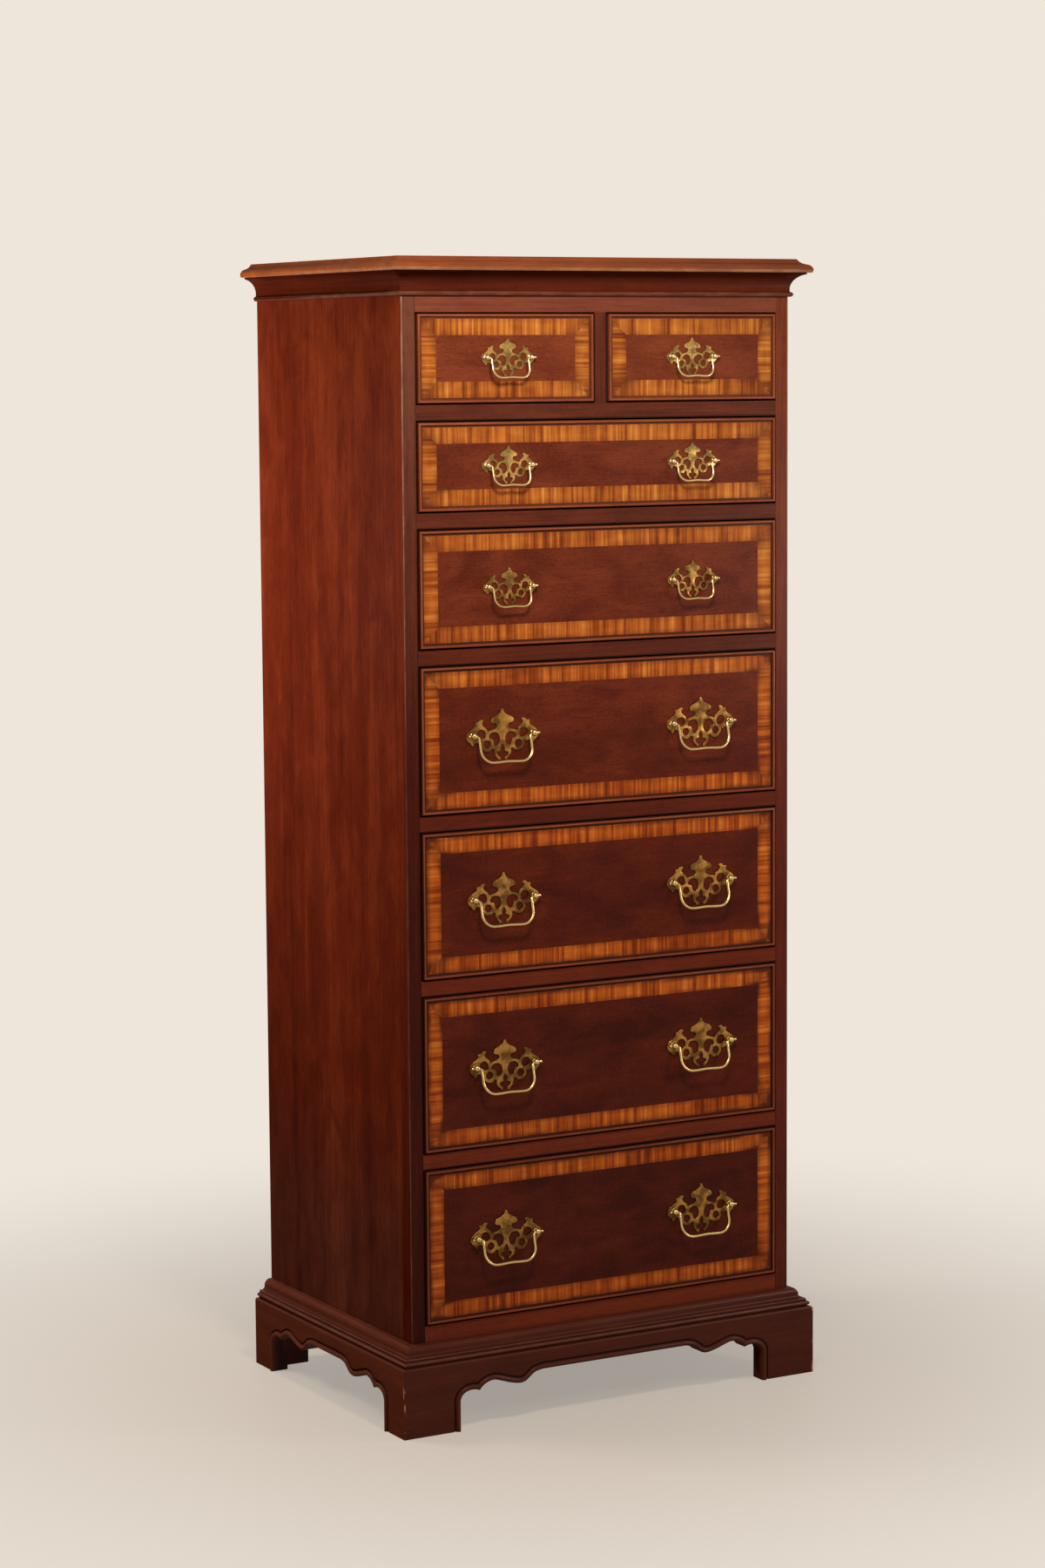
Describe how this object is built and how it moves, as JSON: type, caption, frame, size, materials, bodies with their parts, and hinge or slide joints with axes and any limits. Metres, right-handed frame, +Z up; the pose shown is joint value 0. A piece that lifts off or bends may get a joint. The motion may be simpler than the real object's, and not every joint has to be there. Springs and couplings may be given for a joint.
{
  "type": "tall chest of drawers",
  "caption": "Tall narrow chest with sliding crossbanded drawers, cock beads, pierced brass plates with swinging bails, moulded top and a scrolled bracket base.",
  "frame": {"origin": "on the floor, under the middle of the whole chest", "axes": "+Z up, the drawer fronts face -Y, +X to the right as one looks at the fronts"},
  "size_m": [0.639, 0.442, 1.512],
  "materials": {
    "case_mahogany": "satin lacquer over deep red-brown mahogany",
    "top_mahogany": "satin lacquer over lighter orange-brown mahogany",
    "veneered_front": "satin lacquer over figured mahogany, banded in golden satinwood",
    "plain_wood": "planed, unfinished pale hardwood",
    "plywood": "stained plywood",
    "antique_brass": "aged and lightly brushed",
    "polished_brass": "rubbed bright by use"
  },
  "bodies": {
    "carcase": {"left_side": "case_mahogany", "right_side": "case_mahogany", "left_stile": "case_mahogany", "right_stile": "case_mahogany", "back_panel": "plywood", "top_board": "top_mahogany", "cornice_moulding": "top_mahogany", "top_frame": "case_mahogany", "centre_divider": "case_mahogany", "dust_frame_1": "case_mahogany", "dust_frame_2": "case_mahogany", "dust_frame_3": "case_mahogany", "dust_frame_4": "case_mahogany", "dust_frame_5": "case_mahogany", "dust_frame_6": "case_mahogany", "bottom_frame": "case_mahogany", "base_moulding": "case_mahogany", "front_apron": "case_mahogany", "left_apron": "case_mahogany", "right_apron": "case_mahogany", "base_deck": "plain_wood", "rear_base": "plain_wood"},
    "drawer_1l": {"drawer_1l_front": "veneered_front", "drawer_1l_box": "plain_wood", "drawer_1l_hardware": "antique_brass"},
    "drawer_1r": {"drawer_1r_front": "veneered_front", "drawer_1r_box": "plain_wood", "drawer_1r_hardware": "antique_brass"},
    "drawer_2": {"drawer_2_front": "veneered_front", "drawer_2_box": "plain_wood", "drawer_2_hardware": "antique_brass"},
    "drawer_3": {"drawer_3_front": "veneered_front", "drawer_3_box": "plain_wood", "drawer_3_hardware": "antique_brass"},
    "drawer_4": {"drawer_4_front": "veneered_front", "drawer_4_box": "plain_wood", "drawer_4_hardware": "antique_brass"},
    "drawer_5": {"drawer_5_front": "veneered_front", "drawer_5_box": "plain_wood", "drawer_5_hardware": "antique_brass"},
    "drawer_6": {"drawer_6_front": "veneered_front", "drawer_6_box": "plain_wood", "drawer_6_hardware": "antique_brass"},
    "drawer_7": {"drawer_7_front": "veneered_front", "drawer_7_box": "plain_wood", "drawer_7_hardware": "antique_brass"},
    "bail_1l": {"bail_1l": "polished_brass"},
    "bail_1r": {"bail_1r": "polished_brass"},
    "bail_2l": {"bail_2l": "polished_brass"},
    "bail_2r": {"bail_2r": "polished_brass"},
    "bail_3l": {"bail_3l": "polished_brass"},
    "bail_3r": {"bail_3r": "polished_brass"},
    "bail_4l": {"bail_4l": "polished_brass"},
    "bail_4r": {"bail_4r": "polished_brass"},
    "bail_5l": {"bail_5l": "polished_brass"},
    "bail_5r": {"bail_5r": "polished_brass"},
    "bail_6l": {"bail_6l": "polished_brass"},
    "bail_6r": {"bail_6r": "polished_brass"},
    "bail_7l": {"bail_7l": "polished_brass"},
    "bail_7r": {"bail_7r": "polished_brass"}
  },
  "joints": [
    {"name": "drawer_1l_slide", "type": "slide", "parent": "carcase", "child": "drawer_1l", "axis": [0, -1, 0], "range_m": [0, 0.3]},
    {"name": "drawer_1r_slide", "type": "slide", "parent": "carcase", "child": "drawer_1r", "axis": [0, -1, 0], "range_m": [0, 0.3]},
    {"name": "drawer_2_slide", "type": "slide", "parent": "carcase", "child": "drawer_2", "axis": [0, -1, 0], "range_m": [0, 0.3]},
    {"name": "drawer_3_slide", "type": "slide", "parent": "carcase", "child": "drawer_3", "axis": [0, -1, 0], "range_m": [0, 0.3]},
    {"name": "drawer_4_slide", "type": "slide", "parent": "carcase", "child": "drawer_4", "axis": [0, -1, 0], "range_m": [0, 0.3]},
    {"name": "drawer_5_slide", "type": "slide", "parent": "carcase", "child": "drawer_5", "axis": [0, -1, 0], "range_m": [0, 0.3]},
    {"name": "drawer_6_slide", "type": "slide", "parent": "carcase", "child": "drawer_6", "axis": [0, -1, 0], "range_m": [0, 0.3]},
    {"name": "drawer_7_slide", "type": "slide", "parent": "carcase", "child": "drawer_7", "axis": [0, -1, 0], "range_m": [0, 0.3]},
    {"name": "bail_1l_hinge", "type": "hinge", "parent": "drawer_1l", "child": "bail_1l", "pos_m": [-0.139, -0.2003, 1.38475], "axis": [-1, 0, 0], "range_deg": [0, 150]},
    {"name": "bail_1r_hinge", "type": "hinge", "parent": "drawer_1r", "child": "bail_1r", "pos_m": [0.139, -0.2003, 1.38475], "axis": [-1, 0, 0], "range_deg": [0, 150]},
    {"name": "bail_2l_hinge", "type": "hinge", "parent": "drawer_2", "child": "bail_2l", "pos_m": [-0.139, -0.2003, 1.24825], "axis": [-1, 0, 0], "range_deg": [0, 150]},
    {"name": "bail_2r_hinge", "type": "hinge", "parent": "drawer_2", "child": "bail_2r", "pos_m": [0.139, -0.2003, 1.24825], "axis": [-1, 0, 0], "range_deg": [0, 150]},
    {"name": "bail_3l_hinge", "type": "hinge", "parent": "drawer_3", "child": "bail_3l", "pos_m": [-0.139, -0.2003, 1.093], "axis": [-1, 0, 0], "range_deg": [0, 150]},
    {"name": "bail_3r_hinge", "type": "hinge", "parent": "drawer_3", "child": "bail_3r", "pos_m": [0.139, -0.2003, 1.093], "axis": [-1, 0, 0], "range_deg": [0, 150]},
    {"name": "bail_4l_hinge", "type": "hinge", "parent": "drawer_4", "child": "bail_4l", "pos_m": [-0.151, -0.2003, 0.90275], "axis": [-1, 0, 0], "range_deg": [0, 150]},
    {"name": "bail_4r_hinge", "type": "hinge", "parent": "drawer_4", "child": "bail_4r", "pos_m": [0.151, -0.2003, 0.90275], "axis": [-1, 0, 0], "range_deg": [0, 150]},
    {"name": "bail_5l_hinge", "type": "hinge", "parent": "drawer_5", "child": "bail_5l", "pos_m": [-0.151, -0.2003, 0.69025], "axis": [-1, 0, 0], "range_deg": [0, 150]},
    {"name": "bail_5r_hinge", "type": "hinge", "parent": "drawer_5", "child": "bail_5r", "pos_m": [0.151, -0.2003, 0.69025], "axis": [-1, 0, 0], "range_deg": [0, 150]},
    {"name": "bail_6l_hinge", "type": "hinge", "parent": "drawer_6", "child": "bail_6l", "pos_m": [-0.151, -0.2003, 0.471], "axis": [-1, 0, 0], "range_deg": [0, 150]},
    {"name": "bail_6r_hinge", "type": "hinge", "parent": "drawer_6", "child": "bail_6r", "pos_m": [0.151, -0.2003, 0.471], "axis": [-1, 0, 0], "range_deg": [0, 150]},
    {"name": "bail_7l_hinge", "type": "hinge", "parent": "drawer_7", "child": "bail_7l", "pos_m": [-0.151, -0.2003, 0.245], "axis": [-1, 0, 0], "range_deg": [0, 150]},
    {"name": "bail_7r_hinge", "type": "hinge", "parent": "drawer_7", "child": "bail_7r", "pos_m": [0.151, -0.2003, 0.245], "axis": [-1, 0, 0], "range_deg": [0, 150]}
  ]
}
